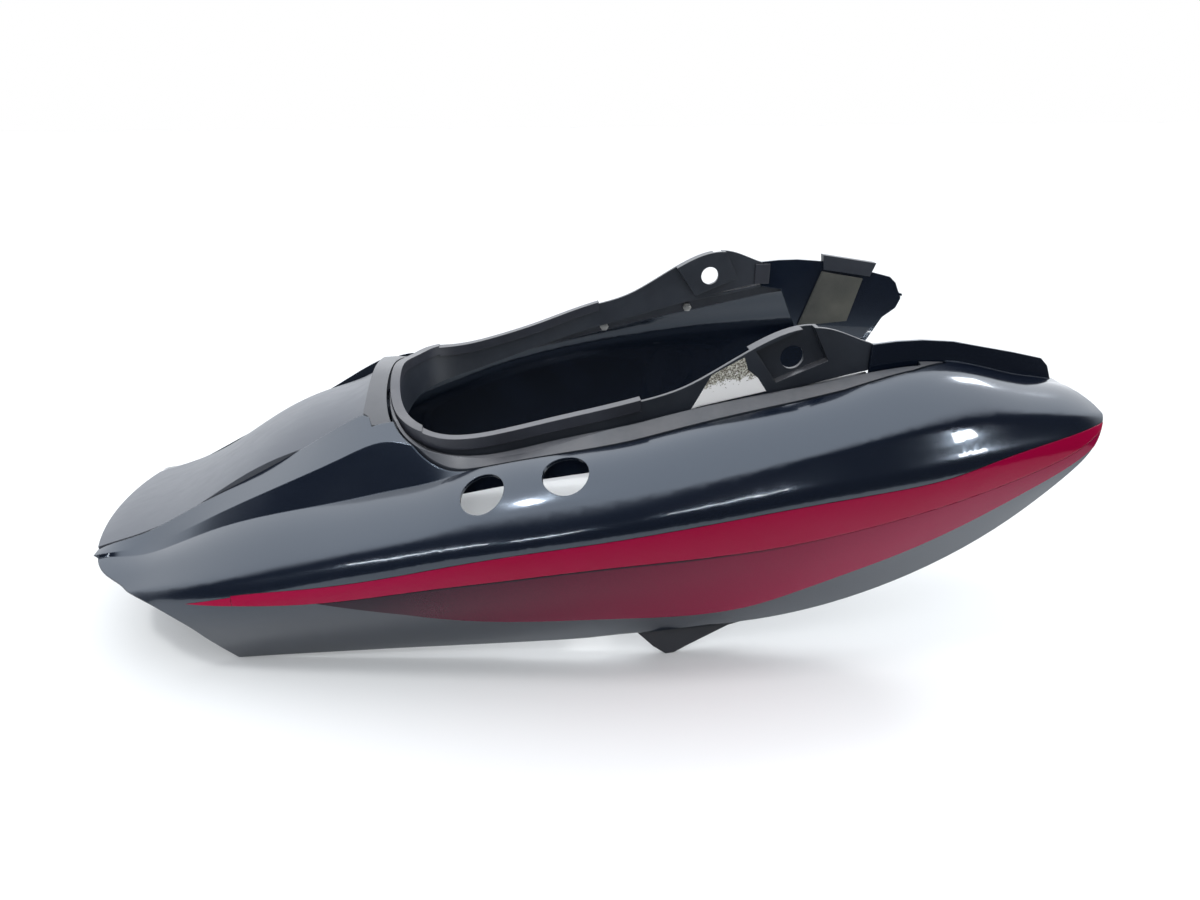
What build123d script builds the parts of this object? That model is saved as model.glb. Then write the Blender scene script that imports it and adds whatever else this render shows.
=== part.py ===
from build123d import *
from collections import namedtuple
from math import hypot
import os

os.makedirs("parts", exist_ok=True)

# Motorcycle tail fairing, millimetres. +X points to the front of the motorcycle, +Z up,
# and the part rests nose-up on its two tail corners and two feet, as it would on a floor.
# The origin is the floor point under the middle of its length and width.
# Widths are given for the right half (y below zero), which is mirrored for the left.

# Walls, gaps and joints
wall = 2.6              # painted shells
joint_gap = 0.5         # seam between neighbouring shells
groove_gap = 1.6        # dark groove between the rim's ledge and the cowl
film = 0.3              # stripe film and label stock
film_gap = 0.03         # adhesive under the stripe film
seat_clearance = 0.3    # running clearance where one piece lies on another

# Centre panel and bridge strip behind the seat
seam_half = 69.0        # half width of the centre panel at its seams
panel_crown = 10.0      # rise of the panel's middle over its seams at the front
tail_x = -400.0         # rear edge of the panel on the centre line
tail_corner_x = -390.0  # rear edge of the panel at its seams
panel_front_x = -161.5  # front edge of the panel
strip_step_x = -153.0   # rear edge of the strip's two wider ends
strip_half = 84.0       # half width of the strip at its ends
strip_bend_x = -156.0   # bend between the strip's narrow and wide edges
strip_bend = 5.0        # how far the bend lies outside the seam
strip_end_x = -136.0    # front end of the strip before the rim trims it
strip_wall = 2.2

# Seat opening: upright flange with a trough and a ledge round it
opening_half = 137.0    # outer face of the flange along the straight sides
opening_rear_x = -142.0
flange_wall = 3.0
trough_width = 7.5
trough_depth = 5.0
ledge_half = 157.0      # outer edge of the ledge along the straight sides
ledge_rear_x = -145.5
return_wall = 2.4       # turned-down edges along the joints
return_depth = 17.0     # height of the turned-down edges
rim_end_x = 224.0       # where the rim stops and the cowl's own wall carries on

# Rubber trim on the flange
trim_end_x = 52.0
trim_height = 9.0
trim_side = 2.4
trim_top = 2.0

# Mounting pockets in the flange, seen from the side
pocket_outline = ((136.5, 253.0), (154.0, 228.0), (192.5, 243.5), (178.0, 272.0))
pocket_depth = 7.0
tab_hole_d = 18.0
tab_hole_at = (167.0, 245.0)

# Grab-rail holes in the shoulders
rail_hole_d = 34.0
# Position of each hole, and the direction its axis leans
rail_holes = (((-67.0, -167.0, 164.0), (-0.26, -0.25, 1.0)),
              ((-7.0, -174.0, 179.5), (-0.31, -0.17, 1.0)))

# Bolts through the turned-down edges
bolt_d = 5.0
bolt_hole_d = 5.6
bolt_drop = 11.0        # depth of the bolts under the outer surface
hex_across = 8.0
hex_height = 3.0
seam_bolts = ((-330.0, 100.4), (-205.0, 165.4))       # place and height of the seam above
rim_bolts = ((60.0, 198.5), (150.0, 216.8))           # place and height of the ledge's outer edge

# Cowl wall in front of the seat rim
nose_wall = 2.6
nose_end_x = 380.0

# Cutting tools and bodies before trimming
reach = 260.0           # half width of the cutting tools
tall = 320.0            # height of the cutting tools
past_middle = 30.0      # how far the cowls' bodies run past the midplane
margin = 1.0            # how far a tool runs past a face
bolt_reach = 5.0        # how far a bolt hole's tool reaches to each side of its wall
past_nose_x = 430.0
behind_nose_x = 240.0
under_rim_x = -100.0    # hidden end of the strip's cut-out in the cowls
rear_low = 150.0        # lower limit of the rim's tools
rear_depth = 50.0       # length of the rear tools along X

# Cross sections of the right cowl, from the seam down to below the bottom edge.
# Each pair is (half width, height). "upper" and "lower" bound the hollow facet behind
# the seat, and further forward the ledge beside the seat.
Cut = namedtuple("Cut", "x inner upper lower bulge crease flank foot")
stations = (
    Cut(-412.0, 64.0, (79.0, 69.5), (84.0, 67.8), 1.5, (104.0, 50.0), (107.5, 38.0), (100.0, -25.0)),
    Cut(-350.0, 92.0, (80.5, 84.5), (87.0, 81.0), 2.5, (122.0, 64.5), (126.5, 51.5), (111.5, -20.0)),
    Cut(-320.0, 106.6, (84.0, 96.5), (90.5, 91.0), 2.7, (132.5, 73.0), (137.0, 59.5), (114.0, -18.0)),
    Cut(-285.0, 124.3, (89.0, 114.8), (95.7, 105.8), 3.0, (144.0, 82.7), (148.5, 69.0), (116.5, -16.0)),
    Cut(-215.0, 160.2, (98.3, 148.4), (112.0, 128.5), 3.7, (160.4, 101.7), (165.2, 87.7), (122.9, -13.0)),
    Cut(-172.0, 184.3, (101.5, 168.3), (119.7, 139.0), 4.1, (170.3, 115.3), (175.4, 101.0), (127.5, -10.0)),
    Cut(-140.0, 194.0, (103.5, 179.5), (124.8, 147.4), 4.5, (177.2, 124.6), (182.6, 110.0), (130.8, -8.0)),
    Cut(-107.0, 188.5, (117.0, 176.5), (132.0, 156.6), 4.9, (184.0, 134.0), (189.5, 119.5), (134.5, -6.0)),
    Cut(-75.0, 187.0, (129.0, 174.5), (139.3, 169.3), 5.4, (191.0, 142.5), (196.5, 128.0), (138.0, -4.0)),
    Cut(15.0, 208.0, (142.5, 195.0), (154.5, 188.6), 6.5, (204.0, 161.4), (209.5, 146.0), (147.0, 1.0)),
    Cut(110.0, 228.0, (145.0, 216.5), (157.0, 209.0), 7.0, (206.5, 176.0), (211.5, 159.5), (152.7, 11.0)),
    Cut(200.0, 243.0, (145.0, 231.8), (156.0, 226.5), 7.6, (201.5, 188.5), (207.0, 171.5), (154.3, 20.0)),
    Cut(262.0, 250.0, (139.0, 241.5), (150.5, 237.8), 7.8, (195.5, 195.5), (201.5, 178.5), (158.5, 42.0)),
    Cut(300.0, 247.0, (135.0, 238.5), (147.0, 235.2), 7.4, (190.5, 199.0), (196.5, 183.0), (161.5, 62.0)),
    Cut(345.0, 235.0, (131.0, 227.0), (143.0, 224.5), 6.4, (184.0, 202.0), (189.5, 188.0), (165.0, 95.0)),
    Cut(412.0, 214.0, (125.0, 206.5), (138.0, 204.5), 3.0, (168.0, 199.5), (173.0, 190.0), (168.0, 140.0)),
)
side_knots = (0.0, 0.2, 0.36, 0.5, 0.6, 0.8, 1.0)

# Side-view outline of the cowls: rear edge, bottom edge and swept front edge
rear_edge = ((tail_corner_x, 79.5), (-381.0, 73.6), (-358.0, 69.0), (-339.5, 65.4), (-321.5, 60.3),
             (-306.0, 51.0), (-295.5, 37.5), (-277.0, 0.0))
bottom_edge = ((-277.0, 0.0), (-144.0, 8.2), (20.0, 17.7), (110.0, 25.5))
front_edge = ((110.0, 25.5), (186.0, 33.7), (265.0, 63.7), (309.0, 91.0), (348.0, 125.0),
              (382.0, 170.0), (396.0, 196.0), (400.0, 206.0))

# Side-view heights of the flange's lower edge, of the trim's top and of the flange's top
skirt_heights = ((-152.0, 150.0), (-74.0, 158.5), (-31.0, 171.5), (53.0, 193.5), (138.0, 215.0),
                 (196.0, 229.0), (rim_end_x + 8.0, 236.0))
trim_heights = ((-112.0, 187.6), (-98.0, 185.6), (-75.0, 187.0), (-52.0, 191.5), (-15.0, 200.9),
                (23.0, 211.7), (trim_end_x, 219.5))
bump_heights = ((66.0, 220.5), (81.0, 225.3), (111.0, 240.9), (139.0, 257.0), (168.0, 268.1),
                (183.0, 269.0), (198.0, 265.8), (214.0, 259.5), (rim_end_x + 8.0, 254.0))
nose_top = ((rim_end_x, 255.6), (243.0, 257.2), (263.0, 257.4), (288.0, 255.2), (340.0, 243.9),
            (365.0, 237.5), (372.0, 231.0), (nose_end_x, 214.0))
nose_bottom = ((376.0, 203.5), (362.0, 192.5), (343.0, 170.0), (300.0, 174.0),
               (268.0, 182.0), (248.0, 226.0), (rim_end_x, 230.0))

# Front-view heights of the trim's top round the rear of the opening
rear_trim_heights = ((0.0, 202.0), (28.0, 199.0), (50.0, 194.6), (77.0, 190.6), (93.0, 189.8),
                     (105.0, 188.8), (125.0, 187.6))

# Plan outlines of the right half: polygon at the front, then one curve to the centre line
flange_front = ((262.0, -opening_half), (56.0, -opening_half))
flange_rear = ((-15.0, -opening_half + 10.5), (-82.0, -opening_half + 19.5), (-113.0, -opening_half + 33.0),
               (-131.5, -opening_half + 62.0), (opening_rear_x, 0.0))
ledge_front = ((284.0, -ledge_half + 16.0), (255.0, -ledge_half + 7.0), (225.0, -ledge_half + 3.4),
               (200.0, -ledge_half + 0.9), (166.0, -ledge_half), (56.0, -ledge_half))
ledge_rear = ((-16.0, -ledge_half + 6.0), (-76.0, -ledge_half + 18.0), (-107.0, -ledge_half + 35.0),
              (-129.0, -ledge_half + 58.0), (-141.0, -ledge_half + 90.0), (ledge_rear_x, 0.0))
nose_line = ((rim_end_x + 0.5, -139.6), (300.0, -138.0), (340.0, -136.0), (nose_end_x + 1.0, -132.5))
nose_front = ((nose_end_x, -132.5), (386.0, -147.0), (396.5, -162.0), (399.9, -171.0))

# Centre panel and bridge strip: place, height at the seams and rise of the middle
panel_sections = ((-404.0, 75.0, 4.5), (-371.0, 85.9, 5.5), (-346.0, 93.8, 6.5), (-302.0, 115.6, 8.0),
                  (-215.0, 160.2, panel_crown), (-150.0, 195.8, panel_crown + 1.0))
strip_sections = ((-170.0, 190.5), (-130.0, 188.5))
strip_sag = 4.2         # drop of the strip's ends below its height at the seams
strip_crown = 11.0

# Feet: side-view outline and front-view line of the outer face
foot_outline = ((40.0, 62.0), (44.0, 24.0), (64.0, 6.3), (74.0, 0.0), (81.0, 0.4), (94.0, 5.6),
                (135.0, 21.0), (160.0, 30.0), (150.0, 62.0))
foot_line = ((-168.5, 64.0), (-152.5, 18.5), (-160.5, 0.0))
foot_wall = 3.0

# Clip and foam pad on the left nose wall, and torn label on the right flange, seen from the side
clip_outline = ((289.0, 262.0), (347.0, 252.5), (342.0, 238.5), (291.0, 246.5))
clip_side = 2.4
foam_outline = ((290.0, 244.5), (334.0, 236.5), (322.5, 190.7), (270.0, 186.0))
foam_thickness = 4.0
label_outline = ((90.5, 209.6), (94.6, 216.9), (104.7, 236.0), (121.4, 245.0), (128.6, 248.6),
                 (131.7, 239.0), (139.8, 232.4), (147.1, 221.5), (127.4, 217.6), (97.2, 211.5))

# Side-view outlines of the printed stripes
stripe_top = ((-300.0, 69.0), (-244.0, 84.7), (-205.0, 91.9), (-166.0, 100.5), (-128.0, 110.2),
              (-56.0, 129.5), (14.0, 142.2), (83.0, 152.5), (155.0, 161.5), (229.0, 168.2),
              (268.0, 173.3), (307.0, 183.2), (348.0, 191.5), (402.0, 200.5))
stripe_split = ((-286.0, 70.5), (-258.0, 73.0), (-208.0, 77.0), (-131.0, 91.3), (-57.0, 105.4),
                (14.0, 116.0), (86.0, 120.0), (150.0, 124.0), (231.0, 138.0), (309.0, 158.0),
                (365.0, 178.0), (402.0, 199.5))
stripe_bottom = ((-130.0, 62.0), (-60.0, 48.0), (18.0, 46.0), (98.0, 42.5), (139.0, 48.0), (177.0, 63.5),
                 (215.0, 81.0), (253.0, 98.0), (296.0, 121.0), (339.0, 147.0), (367.0, 165.0),
                 (400.0, 194.0))


def mirrored(points):
    """The right half of a plan outline and its mirror image, as one run of points."""
    return points + tuple((x, -y) for x, y in reversed(points[:-1]))


def raised(points, rise):
    """A side-view line moved up or down."""
    return [(x, z + rise) for x, z in points]


def moved_out(points, amount):
    """Each point of a section moved along the section's normal, outwards if amount is positive."""
    moved = []
    for i, (y, z) in enumerate(points):
        before = points[max(i - 1, 0)]
        after = points[min(i + 1, len(points) - 1)]
        dy = after[0] - before[0]
        dz = after[1] - before[1]
        length = hypot(dy, dz)
        moved.append((y - amount * dz / length, z + amount * dy / length))
    return moved


def section_points(station):
    """The outline of one section as (half width, height) pairs, seam first."""
    lower, crease = station.lower, station.crease
    run = (crease[0] - lower[0], crease[1] - lower[1])
    length = hypot(*run)
    normal = (-run[1] / length, run[0] / length)
    shoulder = [
        (lower[0] + run[0] * share + normal[0] * rise * station.bulge,
         lower[1] + run[1] * share + normal[1] * rise * station.bulge)
        for share, rise in ((0.42, 1.0), (0.78, 0.85))
    ]
    flank, foot = station.flank, station.foot
    belly = (flank[0] * 0.52 + foot[0] * 0.48 + 4.0, flank[1] * 0.52 + foot[1] * 0.48)
    seam = (seam_half, station.inner)
    return [seam, station.upper, lower, *shoulder, crease, flank, belly, foot]


def half_body(grow, sink):
    """A closed right half body whose surface is the cowl's outer surface moved out by grow."""
    with BuildPart() as body:
        for station in stations:
            right = [(-y, z) for y, z in moved_out(section_points(station), grow)]
            foot = right[-1]
            deep = foot[1] - sink
            with BuildSketch(Plane(origin=(station.x, 0, 0), x_dir=(0, 1, 0), z_dir=(1, 0, 0))):
                with BuildLine():
                    Polyline((past_middle, right[0][1]), *right[:3])
                    add(Edge.make_spline([Vector(*p) for p in right[2:]], parameters=side_knots))
                    Polyline(foot, (foot[0], deep), (past_middle, deep), (past_middle, right[0][1]))
                make_face()
        loft()
    return body.part


def side_block(lower, upper, width):
    """A block across the part, between two side-view lines."""
    with BuildPart() as block:
        with BuildSketch(Plane.XZ):
            with BuildLine():
                low = Spline(*lower)
                high = Spline(*upper)
                Line(low @ 0, high @ 0)
                Line(low @ 1, high @ 1)
            make_face()
        extrude(amount=width, both=True)
    return block.part


def plan_block(front, rear, grow):
    """A tall block over a U-shaped plan outline, moved out by grow."""
    points = moved_out(mirrored(front + rear), grow)
    straight = len(front)
    with BuildPart() as block:
        with BuildSketch():
            with BuildLine():
                Polyline(*points[:straight])
                Spline(*points[straight - 1:1 - straight], tangents=((-1, 0), (1, 0)))
                Polyline(*points[-straight:], points[0])
            make_face()
        extrude(amount=tall)
    return block.part


def flange_block(grow):
    """A tall block over the seat opening's flange, moved out by grow."""
    return plan_block(flange_front, flange_rear, grow)


def ledge_block(grow):
    """A tall block over the ledge's outer edge, moved out by grow."""
    return plan_block(ledge_front, ledge_rear, grow)


outer_body = half_body(0.0, sink=10.0)
inner_body = half_body(-wall, sink=30.0)
shell = outer_body - inner_body


def skin(start, depth):
    """The layer under the outer surface between two vertical depths."""
    return outer_body.moved(Location((0, 0, -start))) - outer_body.moved(Location((0, 0, -depth)))


def right_box(x_from, x_to, y_from, y_to):
    """A tall box given by its limits in plan."""
    with BuildPart() as box:
        with Locations(((x_from + x_to) / 2, (y_from + y_to) / 2, tall / 2)):
            Box(x_to - x_from, y_to - y_from, tall)
    return box.part


def plan_prism(points):
    """A tall prism over a closed plan polygon."""
    with BuildPart() as prism:
        with BuildSketch():
            Polygon(*points, align=None)
        extrude(amount=tall)
    return prism.part


# Side-view outline of a cowl
with BuildPart() as side_trim:
    with BuildSketch(Plane.XZ):
        with BuildLine():
            Line((tail_corner_x, tall), rear_edge[0])
            Spline(*rear_edge[:-1])
            Line(rear_edge[-2], rear_edge[-1])
            Spline(*bottom_edge)
            Spline(*front_edge)
            Polyline(front_edge[-1], (front_edge[-1][0], tall), (tail_corner_x, tall))
        make_face()
    extrude(amount=reach, both=True)

seam_face = seam_half + joint_gap / 2
panel_zone = right_box(-reach * 2, panel_front_x + margin, -seam_face, reach)
strip_zone = plan_prism((
    (panel_front_x, reach), (panel_front_x, -seam_face), (strip_bend_x, -seam_half - strip_bend),
    (strip_step_x, -strip_half - joint_gap / 2), (under_rim_x, -strip_half - joint_gap / 2),
    (under_rim_x, reach),
))
rim_zone = ledge_block(0.0)
edge_ring = ledge_block(return_wall) - rim_zone
nose_zone = plan_prism((
    (behind_nose_x, reach), (behind_nose_x, nose_line[0][1] + nose_wall),
    *[(x, y + nose_wall) for x, y in nose_line[1:]],
    *nose_front[1:], (past_nose_x, nose_front[-1][1]), (past_nose_x, reach),
))


def nose_plate(start, thickness, outline):
    """A plate along the nose wall's line, with the given side-view outline."""
    with BuildPart() as plate:
        with BuildSketch():
            outer = [(x, y + start) for x, y in nose_line]
            inner = [(x, y + start + thickness) for x, y in reversed(nose_line)]
            Polygon(*outer, *inner, align=None)
        extrude(amount=tall)
        with BuildSketch(Plane.XZ):
            Polygon(*outline, align=None)
        extrude(amount=reach, both=True, mode=Mode.INTERSECT)
    return plate.part


# Painted right cowl: a thin shell with turned-down edges along its joints
edge_band = skin(margin, return_depth)
seam_edge = right_box(-reach * 2, panel_front_x, -seam_face - return_wall, 0.0) & edge_band
rim_edge = edge_ring & edge_band
nose_side = nose_plate(0.0, nose_wall, nose_top + nose_bottom)
with BuildPart() as cowl_right:
    add(shell)
    add(rim_edge)
    add(seam_edge)
    add(side_trim.part, mode=Mode.INTERSECT)
    add(panel_zone, mode=Mode.SUBTRACT)
    add(strip_zone, mode=Mode.SUBTRACT)
    add(rim_zone, mode=Mode.SUBTRACT)
    add(nose_zone, mode=Mode.SUBTRACT)
    add(nose_side)
    for place, lean in rail_holes:
        with BuildSketch(Plane(origin=place, z_dir=lean)):
            Circle(rail_hole_d / 2)
        extrude(amount=rail_hole_d / 2, both=True, mode=Mode.SUBTRACT)
    for places, y_from in ((seam_bolts, seam_half - bolt_reach), (rim_bolts, ledge_half - bolt_reach)):
        with BuildSketch(Plane.XZ.offset(y_from)):
            with Locations(*[(x, z - bolt_drop) for x, z in places]):
                Circle(bolt_hole_d / 2)
        extrude(amount=2 * bolt_reach, mode=Mode.SUBTRACT)

# Centre panel, with its edges turned down along the seams
with BuildPart() as centre_panel:
    half = seam_half - joint_gap / 2
    for x, z, rise in panel_sections:
        with BuildSketch(Plane(origin=(x, 0, 0), x_dir=(0, 1, 0), z_dir=(1, 0, 0))):
            with BuildLine():
                ThreePointArc((-half, z), (0, z + rise), (half, z))
                Polyline((half, z), (half, z - return_depth), (-half, z - return_depth), (-half, z))
            make_face()
    loft()
    for x, z, rise in panel_sections:
        inside = half - return_wall
        with BuildSketch(Plane(origin=(x, 0, 0), x_dir=(0, 1, 0), z_dir=(1, 0, 0))):
            with BuildLine():
                ThreePointArc((-inside, z - wall), (0, z + rise - wall), (inside, z - wall))
                Polyline((inside, z - wall), (inside, -1), (-inside, -1), (-inside, z - wall))
            make_face()
    loft(mode=Mode.SUBTRACT)
    with BuildSketch():
        with BuildLine():
            ThreePointArc((tail_corner_x, -seam_half), (tail_x, 0), (tail_corner_x, seam_half))
            Polyline((tail_corner_x, seam_half), (panel_front_x, seam_half),
                     (panel_front_x, -seam_half), (tail_corner_x, -seam_half))
        make_face()
    extrude(amount=tall, mode=Mode.INTERSECT)
    for x, z in seam_bolts:
        with BuildSketch(Plane.XZ):
            with Locations((x, z - bolt_drop)):
                Circle(bolt_hole_d / 2)
        extrude(amount=reach, both=True, mode=Mode.SUBTRACT)

# Bridge strip between the panel and the seat rim
strip_front = ledge_block(margin)
with BuildPart() as bridge_strip:
    half = strip_half
    for x, z in strip_sections:
        with BuildSketch(Plane(origin=(x, 0, 0), x_dir=(0, 1, 0), z_dir=(1, 0, 0))):
            with BuildLine():
                top = Spline((-half, z - strip_sag), (-seam_half, z), (0, z + strip_crown), (seam_half, z),
                             (half, z - strip_sag))
                bottom = Spline((-half, z - strip_sag - strip_wall), (-seam_half, z - strip_wall),
                                (0, z + strip_crown - strip_wall), (seam_half, z - strip_wall),
                                (half, z - strip_sag - strip_wall))
                Line(top @ 0, bottom @ 0)
                Line(top @ 1, bottom @ 1)
            make_face()
    loft()
    with BuildSketch():
        Polygon((panel_front_x + joint_gap, seam_half), (strip_bend_x, seam_half + strip_bend),
                (strip_step_x, strip_half), (strip_end_x, strip_half),
                (strip_end_x, -strip_half), (strip_step_x, -strip_half),
                (strip_bend_x, -seam_half - strip_bend), (panel_front_x + joint_gap, -seam_half),
                align=None)
    extrude(amount=tall, mode=Mode.INTERSECT)
    add(strip_front, mode=Mode.SUBTRACT)


def front_view_block(rise):
    """A block at the rear of the opening, up to the trim's height in front view."""
    points = [(y, z + rise) for y, z in rear_trim_heights]
    with BuildPart() as block:
        with BuildSketch(Plane(origin=(trim_heights[0][0], 0, 0), x_dir=(0, 1, 0), z_dir=(1, 0, 0))):
            with BuildLine():
                run = Spline(*[(-y, z) for y, z in reversed(points[1:])], *points)
                Polyline(run @ 0, ((run @ 0).X, rear_low), ((run @ 1).X, rear_low), run @ 1)
            make_face()
        extrude(amount=-rear_depth)
    return block.part


def under_trim(rise):
    """The space under the trim's top, moved up or down."""
    low = [(x, rear_low) for x, z in trim_heights]
    return side_block(low, raised(trim_heights, rise), reach) + front_view_block(rise)


# Seat rim: flange, trough and ledge in one moulding
flange_drop = trim_top + seat_clearance
with BuildPart() as bump:
    with BuildSketch(Plane.XZ):
        with BuildLine():
            Spline((trim_end_x, trim_heights[-1][1] - flange_drop), *bump_heights)
            Polyline(bump_heights[-1], (bump_heights[-1][0], rear_low), (trim_end_x, rear_low),
                     (trim_end_x, trim_heights[-1][1] - flange_drop))
        make_face()
    extrude(amount=reach, both=True)
above_skirt = side_block(skirt_heights, [(x, tall) for x, z in skirt_heights], reach)

opening_inner = flange_block(-flange_wall)
opening_outer = flange_block(0.0)
trough_edge = flange_block(trough_width)
trough_back = flange_block(trough_width + flange_wall)
rim_edge_zone = ledge_block(-groove_gap)
rim_lip_zone = ledge_block(-groove_gap - return_wall)
behind_nose = right_box(-reach, rim_end_x, -reach, reach)
right_half = right_box(-reach, reach * 2, -reach, 0.0)
tongue_zone = right_box(rim_end_x - margin, nose_end_x, -reach, nose_line[0][1] - joint_gap)

flange = (opening_outer - opening_inner) & (under_trim(-flange_drop) + bump.part) & above_skirt & behind_nose
ledge = (rim_edge_zone - trough_edge) & skin(0.0, wall)
rim_lip = (rim_edge_zone - rim_lip_zone) & skin(0.0, return_depth)
trough_wall = ((trough_back - trough_edge) & rim_edge_zone) & skin(0.0, trough_depth + wall)
trough_floor = ((trough_edge - opening_inner) & rim_edge_zone) & skin(trough_depth, trough_depth + wall)
trim_room = flange_block(trim_side + seat_clearance) - opening_outer
trim_room &= under_trim(seat_clearance) - under_trim(-trim_height - seat_clearance)
trough = (trough_wall + trough_floor + ledge + rim_lip - trim_room) & behind_nose
tongue = (ledge + rim_lip) & tongue_zone

with BuildPart() as rim_half:
    add(trough)
    add(tongue)
    add(flange)
    add(right_half, mode=Mode.INTERSECT)
    with BuildSketch(Plane.XZ.offset(opening_half - pocket_depth - flange_wall)):
        Polygon(*pocket_outline, align=None)
        offset(amount=flange_wall, kind=Kind.INTERSECTION)
    extrude(amount=pocket_depth + flange_wall)
    add(bump.part + under_trim(-flange_drop) + tongue, mode=Mode.INTERSECT)
    with BuildSketch(Plane.XZ.offset(opening_half - pocket_depth)):
        Polygon(*pocket_outline, align=None)
    extrude(amount=pocket_depth + margin, mode=Mode.SUBTRACT)
    with BuildSketch(Plane.XZ.offset(opening_half - pocket_depth - flange_wall - margin)):
        with Locations(tab_hole_at):
            Circle(tab_hole_d / 2)
    extrude(amount=pocket_depth, mode=Mode.SUBTRACT)
    with BuildSketch(Plane.XZ.offset(ledge_half - 2 * bolt_reach)):
        with Locations(*[(x, z - bolt_drop) for x, z in rim_bolts]):
            Circle(bolt_hole_d / 2)
    extrude(amount=2 * bolt_reach, mode=Mode.SUBTRACT)

with BuildPart() as seat_rim:
    add(rim_half.part)
    add(mirror(rim_half.part, about=Plane.XZ))

# Rubber trim pushed over the flange
trim_ring = flange_block(trim_side) - flange_block(-flange_wall - trim_side)
trim_band = under_trim(0.0) - under_trim(-trim_height)
trim_slot = (opening_outer - opening_inner) & under_trim(-trim_top)
trim_half = (trim_ring & trim_band & right_half) - trim_slot
with BuildPart() as edge_trim:
    add(trim_half)
    add(mirror(trim_half, about=Plane.XZ))

# Feet bonded inside the cowls
with BuildPart() as foot_right:
    with BuildSketch(Plane.YZ):
        Polygon(*foot_line, *[(y + foot_wall, z) for y, z in reversed(foot_line)], align=None)
    extrude(amount=reach, both=True)
    with BuildSketch(Plane.XZ):
        Polygon(*foot_outline, align=None)
    extrude(amount=reach, both=True, mode=Mode.INTERSECT)

# Clip over the left nose wall, foam pad behind it, torn label on the right flange
clip_gap = seat_clearance / 3
clip_body = nose_plate(-clip_side - clip_gap, nose_wall + 2 * (clip_side + clip_gap), clip_outline)
clip_slot_outline = tuple(raised(nose_top, seat_clearance)) + nose_bottom
clip_slot = nose_plate(-clip_gap, nose_wall + 2 * clip_gap, clip_slot_outline)
foam_body = nose_plate(nose_wall, foam_thickness, foam_outline)
with BuildPart() as label_patch:
    with BuildSketch(Plane.XZ.offset(opening_half)):
        Polygon(*label_outline, align=None)
    extrude(amount=film)

# Printed stripes: film on the cowl's side
film_skin = half_body(film_gap + film, sink=20.0) - half_body(film_gap, sink=15.0)
upper_prism = side_block(stripe_split, stripe_top, reach)
upper_zone = side_block(raised(stripe_split, -seat_clearance), raised(stripe_top, 10.0), reach)
lower_prism = side_block(stripe_bottom, raised(stripe_split[2:], 5.0), reach) - upper_zone
stripe_upper = film_skin & upper_prism & side_trim.part & right_half
stripe_lower = film_skin & lower_prism & side_trim.part & right_half


def hex_bolts(places, head_at, length):
    """Hexagon bolts along Y, heads outboard of head_at and shanks running inboard."""
    with BuildPart() as bolts:
        with BuildSketch(Plane.XZ.offset(head_at)):
            with Locations(*[(x, z - bolt_drop) for x, z in places]):
                RegularPolygon(hex_across / 2, 6, major_radius=False)
        extrude(amount=hex_height)
        with BuildSketch(Plane.XZ.offset(head_at - length)):
            with Locations(*[(x, z - bolt_drop) for x, z in places]):
                Circle(bolt_d / 2)
        extrude(amount=length)
    return bolts.part


def hex_nuts(places, face_at):
    """Hexagon nuts along Y, with their bearing faces at face_at."""
    with BuildPart() as nuts:
        with BuildSketch(Plane.XZ.offset(face_at - hex_height)):
            with Locations(*[(x, z - bolt_drop) for x, z in places]):
                RegularPolygon(hex_across / 2, 6, major_radius=False)
                Circle(bolt_d / 2 + seat_clearance / 3, mode=Mode.SUBTRACT)
        extrude(amount=hex_height)
    return nuts.part


seam_head = seam_face + return_wall
seam_nut = seam_half - joint_gap / 2 - return_wall
rim_head = ledge_half + return_wall
rim_nut = ledge_half - groove_gap - return_wall

paired = {
    "cowl": cowl_right.part,
    "foot": foot_right.part,
    "stripe_upper": stripe_upper,
    "stripe_lower": stripe_lower,
    "seam_bolts": hex_bolts(seam_bolts, seam_head, seam_head - seam_nut + hex_height + margin),
    "seam_nuts": hex_nuts(seam_bolts, seam_nut),
    "rim_bolts": hex_bolts(rim_bolts, rim_head, rim_head - rim_nut + hex_height + margin),
    "rim_nuts": hex_nuts(rim_bolts, rim_nut),
}
pieces = {
    "centre_panel": centre_panel.part,
    "bridge_strip": bridge_strip.part,
    "seat_rim": seat_rim.part,
    "edge_trim": edge_trim.part,
    "clip_left": mirror(clip_body - clip_slot, about=Plane.XZ),
    "foam_pad_left": mirror(foam_body, about=Plane.XZ),
    "label_patch": label_patch.part,
}
for name, piece in paired.items():
    pieces[name + "_right"] = piece
    pieces[name + "_left"] = mirror(piece, about=Plane.XZ)
for name, piece in pieces.items():
    piece.label = name
    export_step(piece, "parts/" + name + ".step")
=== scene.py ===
import math

import bmesh
import bpy
import numpy as np
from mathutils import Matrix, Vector, kdtree
from mathutils.bvhtree import BVHTree


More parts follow.
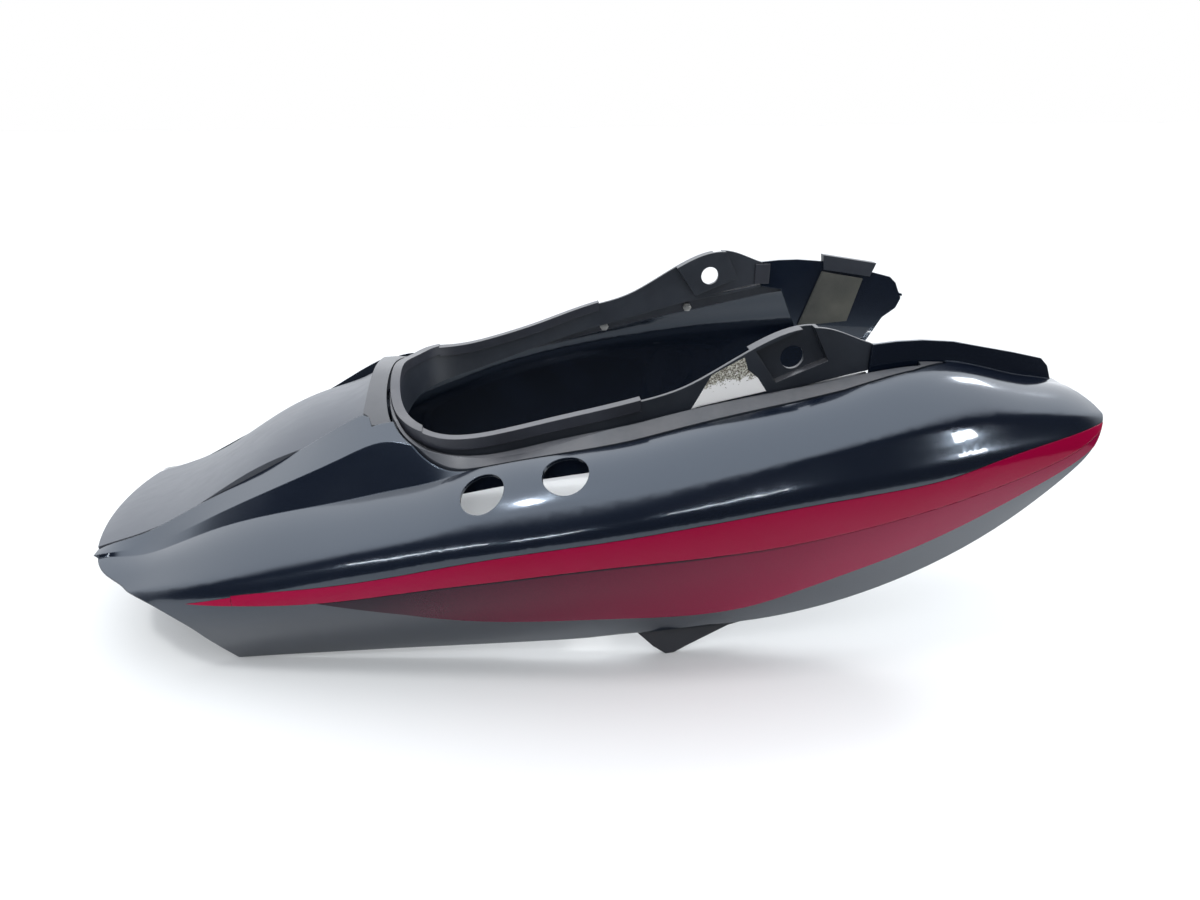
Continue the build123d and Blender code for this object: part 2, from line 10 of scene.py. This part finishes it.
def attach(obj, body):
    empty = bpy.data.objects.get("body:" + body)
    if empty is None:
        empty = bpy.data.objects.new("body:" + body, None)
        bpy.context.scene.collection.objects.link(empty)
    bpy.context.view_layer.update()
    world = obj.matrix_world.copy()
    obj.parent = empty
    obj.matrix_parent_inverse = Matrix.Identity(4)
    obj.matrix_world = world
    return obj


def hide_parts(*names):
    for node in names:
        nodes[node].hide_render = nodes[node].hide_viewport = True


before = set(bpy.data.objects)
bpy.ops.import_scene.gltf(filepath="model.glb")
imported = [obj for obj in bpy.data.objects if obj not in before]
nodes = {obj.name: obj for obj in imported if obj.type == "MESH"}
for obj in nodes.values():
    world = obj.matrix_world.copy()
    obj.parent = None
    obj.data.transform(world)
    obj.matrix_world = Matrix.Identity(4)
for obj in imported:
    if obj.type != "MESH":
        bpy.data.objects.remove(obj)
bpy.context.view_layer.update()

# Camera: the photograph's place, aim and angle of view
CAMERA_PLACE = (-0.0407, -0.6774, 0.4413)
CAMERA_DOWN = math.radians(25.70)
CAMERA_TURN = math.radians(6.618)
CAMERA_LENS = 24.0
CAMERA_SENSOR = 36.0

# Surroundings: white to the camera, and to everything else a bright sky behind and above the
# part, with a dark room on the camera's side up to the ceiling
SKY_TINT = (0.93, 0.96, 1.0, 1.0)
WHITE = (1, 1, 1, 1)
BACK_LEVEL = 1.05
CEILING_LEVEL = 1.5
ROOM_LEVEL = 0.035
GLOSS_GAIN = 1.9        # how much brighter the room looks in reflections
ROOM_FILL = 0.16        # soft light from all round that no reflection shows
CEILING_FROM = 0.55     # sine of the elevation where the ceiling starts in front
CEILING_FULL = 0.76
BACK_RISE_FROM = 0.2    # sine of the elevation where the back starts to brighten
BACK_RISE_FULL = 0.9
BACK_FROM = -0.38       # share of the direction along Y where the bright back starts
BACK_FULL = -0.08

# Lamps, each mirrored to the camera by one point of the part: that point, the turn and rise
# of the mirrored ray in degrees, the lamp's size in metres and its power in watts
LAMP_DISTANCE = 1.6
LAMPS = (
    ("key", (-0.033, -0.187, 0.165), -164, 62, (0.22, 0.13), 6.0),
    ("nose_top", (0.287, -0.160, 0.233), 26, 43, (0.20, 0.30), 4.0),
    ("nose_side", (0.284, -0.191, 0.202), -48, 12, (0.12, 0.07), 1.6),
    ("strip_rear", (-0.112, -0.186, 0.128), -134, 17, (0.60, 0.03), 2.6),
    ("strip_middle", (-0.022, -0.204, 0.147), -111, 12, (0.45, 0.03), 2.0),
    ("strip_front", (0.100, -0.208, 0.170), -80, 16, (0.55, 0.03), 2.0),
)

# Floor, in metres
FLOOR_SPAN = 6.0
FLOOR_FRONT = -0.47     # the pale sheet ends here, on the camera's side
FLOOR_DROP = 0.0005     # just under the part's lowest points
FLOOR_COLOUR = (0.80, 0.81, 0.81, 1)
FLOOR_LIFT = 0.04       # light added to the floor for the camera alone

# Colours, linear
BLACK = (0.0035, 0.0060, 0.0130)
# grey that faces pointing up are lightened towards: partly settled dust, partly a painted
# highlight from above
DUST_AND_SHEEN = (0.150, 0.145, 0.150)
PAINT_SPECKS = (0.30, 0.32, 0.36)
LABEL_WHITE = (0.95, 0.95, 0.95)
BACKING_DARK = (0.10, 0.085, 0.060)
BACKING_PALE = (0.62, 0.62, 0.55)
PAINT_TINT = (0.68, 0.82, 1.0, 1.0)     # the two tints are of the gloss
RED_TINT = (1.0, 0.18, 0.34, 1.0)

# Relief, in metres, but for the scale of the orange peel, which is per metre
PEEL_SCALE, PEEL_DEPTH = 260.0, 0.0004
GRAIN_DEPTH = 0.0003
PAINT_EDGE, STOCK_EDGE = 0.0012, 0.0008     # radius by which edges look rounded
EDGE_SAMPLES = 4
COAT_ROUGHNESS = 0.02

# Lower stripe, in metres: its red fades over the sum of X and the slanted height, and the line
# along its upper edge lies between two distances from the line of STRIPE_SPLIT
FADE_SLANT = -1.3
FADE_BLACK, FADE_RED = -0.26, 0.10
INK_GRAIN = 0.10
LINE_BELOW, LINE_ABOVE, LINE_SOFT = -0.0022, 0.01, 0.0004
LINE_STRENGTH = 0.85
LINE_FADES_FROM, LINE_FADES_TO = 0.08, 0.20     # X where the line fades out

# Label, in metres: its rise along X, and the heights that the tear spreads over
LABEL_CLIMB = 0.20
LABEL_LOW, LABEL_HIGH = 0.1965, 0.2110

# Side-view line between the two stripe fields, in millimetres: X and height
STRIPE_SPLIT = (
    (-330.0, 66.9), (-298.0, 69.8), (-258.0, 73.0), (-208.0, 77.0), (-131.0, 91.3),
    (-57.0, 105.4), (14.0, 116.0), (86.0, 120.0), (150.0, 124.0), (231.0, 138.0),
    (309.0, 158.0), (402.0, 199.5),
)
LINE_SPAN = 250.0       # height in millimetres that the line's curve is drawn on

# Rear end of the upper stripe, behind the CAD's film, in metres: X and height
TIP_REAR = Vector((-0.2980, 0.0698))
TIP_FRONT_LOW = Vector((-0.2602, 0.0728))
TIP_FRONT_HIGH = Vector((-0.2602, 0.0801))
TIP_COLUMNS, TIP_ROWS = 24, 5
TIP_LIFT = 0.0003       # as far off the cowl as the CAD's film is thick
CLEAR_OF_PART = 0.5     # distance from the middle that is outside the part

# Strips behind the seams of seat rim and nose walls, in metres
COVER_X, COVER_Y, COVER_Z = 0.2245, 0.1331, 0.2440
COVER_SIZE = Vector((0.016, 0.0012, 0.021))
COVER_ROUNDING = 0.0004

# Smooth normals: spread of the average in metres, and how alike two normals must be
COWL_SPREAD, PANEL_SPREAD = 0.007, 0.010
LIKENESS = 60
SEARCH_REACH = 2.2      # how many spreads away samples are still counted
SAMPLE_EDGE = 0.005     # longest edge of the samples that the smooth normals are read from
NO_AREA = 1e-12
NO_LENGTH = 1e-9


def new_object(name, data):
    """A new object, linked to the scene."""
    made = bpy.data.objects.new(name, data)
    bpy.context.scene.collection.objects.link(made)
    return made


# Shader nodes

def feed(tree, value, socket):
    """Links a node's output to a socket, or sets the socket to a number or colour."""
    if isinstance(value, bpy.types.NodeSocket):
        tree.links.new(value, socket)
    else:
        socket.default_value = (*value, 1.0) if isinstance(value, tuple) else value


def ramp(tree, value, low, high, from_min=0.0, from_max=1.0, kind="LINEAR"):
    """A number mapped from one range to another."""
    node = tree.nodes.new("ShaderNodeMapRange")
    node.interpolation_type = kind
    node.inputs["From Min"].default_value = from_min
    node.inputs["From Max"].default_value = from_max
    node.inputs["To Min"].default_value = low
    node.inputs["To Max"].default_value = high
    tree.links.new(value, node.inputs["Value"])
    return node.outputs["Result"]


def maths(tree, operation, first, second):
    node = tree.nodes.new("ShaderNodeMath")
    node.operation = operation
    feed(tree, first, node.inputs[0])
    feed(tree, second, node.inputs[1])
    return node.outputs[0]


def colour_mix(tree, amount, first, second):
    node = tree.nodes.new("ShaderNodeMix")
    node.data_type = "RGBA"
    tree.links.new(amount, node.inputs["Factor"])
    feed(tree, first, node.inputs[6])
    feed(tree, second, node.inputs[7])
    return node.outputs[2]


def noise(tree, scale, detail=4.0, roughness=0.55, stretch=(1, 1, 1)):
    """Noise fixed to the object, with its scale per metre."""
    place = tree.nodes.new("ShaderNodeTexCoord")
    fit = tree.nodes.new("ShaderNodeMapping")
    fit.inputs["Scale"].default_value = stretch
    made = tree.nodes.new("ShaderNodeTexNoise")
    made.inputs["Scale"].default_value = scale
    made.inputs["Detail"].default_value = detail
    made.inputs["Roughness"].default_value = roughness
    tree.links.new(place.outputs["Object"], fit.inputs["Vector"])
    tree.links.new(fit.outputs[0], made.inputs["Vector"])
    return made.outputs["Fac"]


def object_axis(tree, axis):
    """One coordinate of the object, in metres."""
    place = tree.nodes.new("ShaderNodeTexCoord")
    split = tree.nodes.new("ShaderNodeSeparateXYZ")
    tree.links.new(place.outputs["Object"], split.inputs[0])
    return split.outputs[axis]


def height_line(tree, points):
    """Height in metres, along the object, of a line through side-view points in millimetres."""
    curve = tree.nodes.new("ShaderNodeFloatCurve")
    low, high = points[0][0], points[-1][0]
    track = curve.mapping.curves[0]
    for index, (x, z) in enumerate(points):
        spot = ((x - low) / (high - low), z / LINE_SPAN)
        if index == 0:
            track.points[0].location = spot
        elif index == len(points) - 1:
            track.points[-1].location = spot
        else:
            track.points.new(*spot)
    curve.mapping.update()
    along = ramp(tree, object_axis(tree, "X"), 0.0, 1.0, low / 1000, high / 1000)
    tree.links.new(along, curve.inputs["Value"])
    return maths(tree, "MULTIPLY", curve.outputs[0], LINE_SPAN / 1000)


def band(tree, value, low, high, edge):
    """One between two limits and nothing outside them, with soft edges."""
    rises = ramp(tree, value, 0.0, 1.0, low - edge, low + edge)
    falls = ramp(tree, value, 1.0, 0.0, high - edge, high + edge)
    return maths(tree, "MULTIPLY", rises, falls)


def relief(tree, shader, height, strength, depth, edge=STOCK_EDGE):
    """Fine relief of a depth in metres, over edges that look rounded by a radius in metres."""
    rounded = tree.nodes.new("ShaderNodeBevel")
    rounded.samples = EDGE_SAMPLES
    rounded.inputs["Radius"].default_value = edge
    node = tree.nodes.new("ShaderNodeBump")
    node.inputs["Strength"].default_value = strength
    node.inputs["Distance"].default_value = depth
    tree.links.new(rounded.outputs[0], node.inputs["Normal"])
    tree.links.new(height, node.inputs["Height"])
    tree.links.new(node.outputs[0], shader.inputs["Normal"])


def material(name):
    """A new material with its tree and its principled shader."""
    made = bpy.data.materials.new(name)
    made.use_nodes = True
    return made, made.node_tree, made.node_tree.nodes["Principled BSDF"]


# Camera, light and floor

def make_camera():
    data = bpy.data.cameras.new("camera")
    data.lens = CAMERA_LENS
    data.sensor_width = CAMERA_SENSOR
    data.clip_start = 0.01
    data.clip_end = 50.0
    camera = new_object("camera", data)
    camera.location = CAMERA_PLACE
    camera.rotation_euler = (math.pi / 2 - CAMERA_DOWN, 0.0, -CAMERA_TURN)
    bpy.context.scene.camera = camera


def make_world():
    world = bpy.data.worlds.new("studio")
    bpy.context.scene.world = world
    world.use_nodes = True
    tree = world.node_tree
    tree.nodes.clear()
    path = tree.nodes.new("ShaderNodeLightPath")
    place = tree.nodes.new("ShaderNodeTexCoord")
    way = tree.nodes.new("ShaderNodeSeparateXYZ")
    tree.links.new(place.outputs["Generated"], way.inputs[0])

    front = ramp(tree, way.outputs["Z"], ROOM_LEVEL, CEILING_LEVEL,
                 CEILING_FROM, CEILING_FULL, "SMOOTHSTEP")
    back = ramp(tree, way.outputs["Z"], BACK_LEVEL, CEILING_LEVEL,
                BACK_RISE_FROM, BACK_RISE_FULL, "SMOOTHSTEP")
    level = tree.nodes.new("ShaderNodeMix")
    side = ramp(tree, way.outputs["Y"], 0.0, 1.0, BACK_FROM, BACK_FULL, "SMOOTHSTEP")
    tree.links.new(side, level.inputs["Factor"])
    tree.links.new(front, level.inputs[2])
    tree.links.new(back, level.inputs[3])

    # glossy rays see a brighter room, and all the others get the soft fill
    glossy = path.outputs["Is Glossy Ray"]
    gain = ramp(tree, glossy, 1.0, GLOSS_GAIN)
    fill = ramp(tree, glossy, ROOM_FILL, 0.0)
    strength = maths(tree, "ADD", maths(tree, "MULTIPLY", level.outputs[0], gain), fill)

    room = tree.nodes.new("ShaderNodeBackground")
    room.inputs["Color"].default_value = SKY_TINT
    tree.links.new(strength, room.inputs["Strength"])
    white = tree.nodes.new("ShaderNodeBackground")
    white.inputs["Color"].default_value = WHITE
    mix = tree.nodes.new("ShaderNodeMixShader")
    tree.links.new(path.outputs["Is Camera Ray"], mix.inputs[0])
    tree.links.new(room.outputs[0], mix.inputs[1])
    tree.links.new(white.outputs[0], mix.inputs[2])
    output = tree.nodes.new("ShaderNodeOutputWorld")
    tree.links.new(mix.outputs[0], output.inputs["Surface"])


def make_lamp(name, at, turn, rise, size, power):
    """An area lamp that shines on a point of the part along the ray that it is mirrored by."""
    turn, rise = math.radians(turn), math.radians(rise)
    way = Vector((math.cos(rise) * math.cos(turn), math.cos(rise) * math.sin(turn),
                  math.sin(rise)))
    data = bpy.data.lights.new(name, "AREA")
    data.shape = "RECTANGLE"
    data.size, data.size_y = size
    data.energy = power
    lamp = new_object(name, data)
    lamp.location = Vector(at) + way * LAMP_DISTANCE
    lamp.rotation_euler = (-way).to_track_quat("-Z", "Y").to_euler()
    lamp.visible_camera = False


def make_floor():
    mesh = bpy.data.meshes.new("floor")
    corners = [(-FLOOR_SPAN, FLOOR_FRONT, 0), (FLOOR_SPAN, FLOOR_FRONT, 0),
               (FLOOR_SPAN, FLOOR_SPAN, 0), (-FLOOR_SPAN, FLOOR_SPAN, 0)]
    mesh.from_pydata(corners, [], [(0, 1, 2, 3)])
    floor = new_object("floor", mesh)
    floor.location.z = -FLOOR_DROP
    made, tree, shader = material("floor")
    shader.inputs["Base Color"].default_value = FLOOR_COLOUR
    shader.inputs["Roughness"].default_value = 0.9
    shader.inputs["Specular IOR Level"].default_value = 0.1
    shader.inputs["Emission Color"].default_value = WHITE
    path = tree.nodes.new("ShaderNodeLightPath")
    lift = ramp(tree, path.outputs["Is Camera Ray"], 0.0, FLOOR_LIFT)
    tree.links.new(lift, shader.inputs["Emission Strength"])
    mesh.materials.append(made)


# Finishes

def orange_peel(tree):
    return noise(tree, PEEL_SCALE, 2.0)


def paint(name, base, worn, rough, dust, gloss, coat=0.0, peel=0.02, tint=PAINT_TINT):
    """Glossy paint or print with faint dust, wiping marks and orange peel."""
    made, tree, shader = material(name)
    clouds = noise(tree, 9.0, 5.0)
    specks = ramp(tree, noise(tree, 900.0, 2.0), 0.0, 1.0, 0.70, 0.80)
    tone = colour_mix(tree, clouds, base, worn)
    tone = colour_mix(tree, ramp(tree, specks, 0.0, dust), tone, PAINT_SPECKS)
    tree.links.new(tone, shader.inputs["Base Color"])
    wipes = noise(tree, 40.0, 6.0, 0.6, (1.0, 3.0, 3.0))
    tree.links.new(ramp(tree, wipes, rough, rough * 1.3, 0.2, 0.9), shader.inputs["Roughness"])
    shader.inputs["Specular IOR Level"].default_value = gloss
    shader.inputs["Specular Tint"].default_value = tint
    shader.inputs["Coat Weight"].default_value = coat
    shader.inputs["Coat Roughness"].default_value = COAT_ROUGHNESS
    relief(tree, shader, orange_peel(tree), peel, PEEL_DEPTH, PAINT_EDGE)
    return made


def plastic(name, base, worn, rough, grain=1800.0, depth=0.25, dust=0.0, metallic=0.0):
    """Moulded or plated stock with a fine grain, rubbed lighter in places."""
    made, tree, shader = material(name)
    rubbed = ramp(tree, noise(tree, 16.0, 6.0), 0.0, 1.0, 0.35, 0.75)
    tone = colour_mix(tree, rubbed, base, worn)
    if dust:
        # faces that point up are lightened in drifts: partly settled dust, partly a painted
        # highlight standing in for the light from above
        facing = tree.nodes.new("ShaderNodeSeparateXYZ")
        geometry = tree.nodes.new("ShaderNodeNewGeometry")
        tree.links.new(geometry.outputs["Normal"], facing.inputs[0])
        upward_dust_and_sheen = ramp(tree, facing.outputs["Z"], 0.0, dust, 0.45, 0.95)
        drifts = ramp(tree, noise(tree, 28.0, 6.0, 0.65), 0.3, 1.0, 0.35, 0.65)
        tone = colour_mix(tree, maths(tree, "MULTIPLY", upward_dust_and_sheen, drifts), tone, DUST_AND_SHEEN)
    tree.links.new(tone, shader.inputs["Base Color"])
    patches = ramp(tree, noise(tree, 55.0, 4.0), rough * 0.8, rough * 1.25)
    tree.links.new(patches, shader.inputs["Roughness"])
    shader.inputs["Specular IOR Level"].default_value = 0.5
    shader.inputs["Metallic"].default_value = metallic
    relief(tree, shader, noise(tree, grain, 3.0), depth, GRAIN_DEPTH)
    return made


def fading_print(name, base):
    """Red print that fades to black towards the rear and upwards, with a fine grain."""
    made, tree, shader = material(name)
    along = object_axis(tree, "X")
    high = object_axis(tree, "Z")
    slope = maths(tree, "MULTIPLY", high, FADE_SLANT)
    fade = ramp(tree, maths(tree, "ADD", along, slope), 0.0, 1.0, FADE_BLACK, FADE_RED)
    grain = ramp(tree, noise(tree, 700.0, 2.0), -INK_GRAIN, INK_GRAIN)
    inked = ramp(tree, maths(tree, "ADD", fade, grain), 0.0, 1.0)
    tone = colour_mix(tree, inked, BLACK, base)
    # a dark line parts this field from the one above, and fades out towards the nose
    above = maths(tree, "SUBTRACT", high, height_line(tree, STRIPE_SPLIT))
    line = band(tree, above, LINE_BELOW, LINE_ABOVE, LINE_SOFT)
    towards_nose = ramp(tree, along, LINE_STRENGTH, 0.0, LINE_FADES_FROM, LINE_FADES_TO)
    line = maths(tree, "MULTIPLY", line, towards_nose)
    tree.links.new(colour_mix(tree, line, tone, BLACK), shader.inputs["Base Color"])
    shader.inputs["Roughness"].default_value = 0.10
    shader.inputs["Specular IOR Level"].default_value = 0.22
    shader.inputs["Specular Tint"].default_value = RED_TINT
    relief(tree, shader, orange_peel(tree), 0.02, PEEL_DEPTH)
    return made


def torn_label(name):
    """White label stock whose upper part is torn down to speckled backing."""
    made, tree, shader = material(name)
    patches = noise(tree, 330.0, 5.0, 0.7)
    # the tear follows the label's lower edge, which climbs with the flange
    slope = maths(tree, "MULTIPLY", object_axis(tree, "X"), LABEL_CLIMB)
    high = maths(tree, "SUBTRACT", object_axis(tree, "Z"), slope)
    climb = ramp(tree, high, -0.35, 0.16, LABEL_LOW, LABEL_HIGH)
    torn = ramp(tree, maths(tree, "ADD", patches, climb), 0.0, 1.0, 0.50, 0.56)
    scraps = noise(tree, 800.0, 3.0)
    backing = colour_mix(tree, ramp(tree, scraps, 0.0, 1.0, 0.42, 0.60),
                         BACKING_DARK, BACKING_PALE)
    tone = colour_mix(tree, torn, LABEL_WHITE, backing)
    tree.links.new(tone, shader.inputs["Base Color"])
    tree.links.new(ramp(tree, scraps, 0.45, 0.75), shader.inputs["Roughness"])
    relief(tree, shader, patches, 0.5, GRAIN_DEPTH)
    return made


# Smooth normals for the glossy skins

def coordinates(mesh):
    """A mesh's vertices, one row each."""
    places = np.empty(len(mesh.vertices) * 3)
    mesh.vertices.foreach_get("co", places)
    return places.reshape(-1, 3)


def surface_samples(mesh):
    """Centres, normals and doubled areas of a mesh's triangles, split until they are small."""
    mesh.calc_loop_triangles()
    corners = np.empty(len(mesh.loop_triangles) * 3, int)
    mesh.loop_triangles.foreach_get("vertices", corners)
    triangles = coordinates(mesh)[corners.reshape(-1, 3)]
    done = []
    while len(triangles):
        sides = np.linalg.norm(triangles[:, (1, 2, 0)] - triangles, axis=2)
        longest = sides.argmax(1)
        long = sides.max(1) > SAMPLE_EDGE
        done.append(triangles[~long])
        rows = np.arange(len(triangles))
        first = triangles[rows, longest][long]
        second = triangles[rows, (longest + 1) % 3][long]
        third = triangles[rows, (longest + 2) % 3][long]
        middle = (first + second) / 2
        triangles = np.concatenate((
            np.stack((first, middle, third), 1), np.stack((middle, second, third), 1),
        ))
    triangles = np.concatenate(done)
    crosses = np.cross(triangles[:, 1] - triangles[:, 0], triangles[:, 2] - triangles[:, 0])
    doubled = np.linalg.norm(crosses, axis=1)
    kept = doubled > NO_AREA
    return triangles[kept].mean(1), crosses[kept] / doubled[kept, None], doubled[kept]


class NormalField:
    """Normals of a mesh's surface, averaged over neighbours that face nearly the same way."""

    def __init__(self, mesh, spread):
        self.centres, self.normals, self.areas = surface_samples(mesh)
        self.spread = spread
        self.tree = kdtree.KDTree(len(self.centres))
        for index, centre in enumerate(self.centres):
            self.tree.insert(centre, index)
        self.tree.balance()

    def at(self, place, normal):
        found = self.tree.find_range(place, self.spread * SEARCH_REACH)
        if not found:
            return normal
        rows = [index for _, index, _ in found]
        near = np.array([gap for _, _, gap in found])
        alike = np.clip(self.normals[rows] @ normal, 0.0, 1.0) ** LIKENESS
        weights = np.exp(-((near / self.spread) ** 2)) * alike * self.areas[rows]
        total = weights @ self.normals[rows]
        length = np.linalg.norm(total)
        return total / length if length > NO_LENGTH else normal


def polished(name, field):
    """A copy of a CAD node, shaded by the smooth field so that its reflections run clean."""
    mesh = nodes[name].data.copy()
    places = coordinates(mesh)
    corner_vertices = np.empty(len(mesh.loops), int)
    mesh.loops.foreach_get("vertex_index", corner_vertices)
    corner_normals = np.array([corner.vector[:] for corner in mesh.corner_normals])
    totals = np.zeros((len(places), 3))
    np.add.at(totals, corner_vertices, corner_normals)
    totals /= np.maximum(np.linalg.norm(totals, axis=1), NO_LENGTH)[:, None]
    smooth = [field.at(place, normal) for place, normal in zip(places, totals)]
    for face in mesh.polygons:
        face.use_smooth = True
    mesh.normals_split_custom_set([smooth[vertex] for vertex in corner_vertices])
    piece = new_object(name + "_finish", mesh)
    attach(piece, "root")
    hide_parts(name)


# Pieces that the CAD doesn't have

def stripe_tip(name, side, cowl, field):
    """The upper stripe's pointed rear end, a sheet laid on the cowl behind the CAD's film."""
    surface = BVHTree.FromPolygons(
        [vertex.co for vertex in cowl.vertices],
        [tuple(face.vertices) for face in cowl.polygons])
    places, faces, normals = [], [], []
    for column in range(TIP_COLUMNS + 1):
        for row in range(TIP_ROWS + 1):
            front = TIP_FRONT_LOW.lerp(TIP_FRONT_HIGH, row / TIP_ROWS)
            x, z = TIP_REAR.lerp(front, column / TIP_COLUMNS)
            outside = Vector((x, side * CLEAR_OF_PART, z))
            place, facing, _, _ = surface.ray_cast(outside, Vector((0, -side, 0)))
            if facing.y * side < 0:
                facing = -facing
            smooth = Vector(field.at(np.array(place), np.array(facing)))
            places.append(place + smooth * TIP_LIFT)
            normals.append(smooth)
    step = TIP_ROWS + 1
    for column in range(TIP_COLUMNS):
        for row in range(TIP_ROWS):
            corner = column * step + row
            ring = (corner, corner + 1, corner + step + 1, corner + step)
            faces.append(ring if side > 0 else ring[::-1])
    mesh = bpy.data.meshes.new(name)
    mesh.from_pydata(places, [], faces)
    for face in mesh.polygons:
        face.use_smooth = True
    mesh.normals_split_custom_set([normals[loop.vertex_index] for loop in mesh.loops])
    mesh.materials.append(looks["stripe_upper"])
    piece = new_object(name, mesh)
    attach(piece, "root")


def joint_cover(name, side):
    """A thin strip inside the bay, behind the seam of the seat rim and the nose wall."""
    shape = bmesh.new()
    bmesh.ops.create_cube(shape, size=1.0)
    middle = Vector((COVER_X, side * COVER_Y, COVER_Z))
    for vertex in shape.verts:
        vertex.co = middle + Vector(corner * full for corner, full in zip(vertex.co, COVER_SIZE))
    bmesh.ops.bevel(shape, geom=shape.edges[:], offset=COVER_ROUNDING, segments=2,
                    affect="EDGES")
    mesh = bpy.data.meshes.new(name)
    shape.to_mesh(mesh)
    shape.free()
    mesh.materials.append(looks["edge_trim"])
    piece = new_object(name, mesh)
    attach(piece, "root")


make_camera()
make_world()
bpy.context.scene.view_settings.view_transform = "Standard"
for lamp_facts in LAMPS:
    make_lamp(*lamp_facts)
make_floor()

# Each finish by the start of its nodes' names
looks = {
    "cowl": paint("cowl_paint", BLACK, (0.0045, 0.0075, 0.0160), 0.15, dust=0.05, gloss=0.58,
                  coat=0.45),
    "centre_panel": paint("panel_paint", (0.056, 0.058, 0.066), (0.085, 0.089, 0.102), 0.33,
                          dust=0.16, gloss=0.40, peel=0.03),
    "bridge_strip": plastic("strip_plastic", (0.045, 0.048, 0.056), (0.075, 0.078, 0.088), 0.34),
    # on the rim and the trim, the dust amount lightens the faces that point up, partly as dust
    # and partly as a painted highlight
    "seat_rim": plastic("rim_plastic", (0.014, 0.018, 0.026), (0.030, 0.036, 0.048), 0.38,
                        dust=0.40),
    "edge_trim": plastic("trim_rubber", (0.018, 0.020, 0.028), (0.034, 0.038, 0.052), 0.36,
                         grain=900.0, depth=0.4, dust=0.30),
    "foot": plastic("foot_plastic", (0.004, 0.006, 0.012), (0.010, 0.012, 0.018), 0.5),
    "clip": plastic("clip_plastic", (0.010, 0.014, 0.024), (0.025, 0.030, 0.042), 0.4),
    "foam": plastic("foam_pad", (0.05, 0.052, 0.048), (0.10, 0.10, 0.085), 0.9,
                    grain=700.0, depth=0.9),
    "label": torn_label("label_stock"),
    "stripe_upper": paint("stripe_bright", (0.27, 0.0012, 0.026), (0.31, 0.002, 0.045), 0.09,
                          dust=0.02, gloss=0.18, tint=RED_TINT),
    "stripe_lower": fading_print("stripe_deep", (0.25, 0.004, 0.042)),
}
looks["seam_"] = looks["rim_"] = plastic(
    "zinc", (0.45, 0.45, 0.43), (0.6, 0.6, 0.58), 0.35, grain=600.0, depth=0.2, metallic=1.0)
for name, node in nodes.items():
    look = next(look for start, look in looks.items() if name.startswith(start))
    node.data.materials.clear()
    node.data.materials.append(look)

for side, sign in (("_right", -1), ("_left", 1)):
    cowl = nodes["cowl" + side].data
    field = NormalField(cowl, COWL_SPREAD)
    polished("cowl" + side, field)
    polished("stripe_upper" + side, field)
    polished("stripe_lower" + side, field)
    stripe_tip("stripe_tip" + side, sign, cowl, field)
joint_cover("joint_cover_right", -1)
joint_cover("joint_cover_left", 1)
panel_field = NormalField(nodes["centre_panel"].data, PANEL_SPREAD)
polished("centre_panel", panel_field)
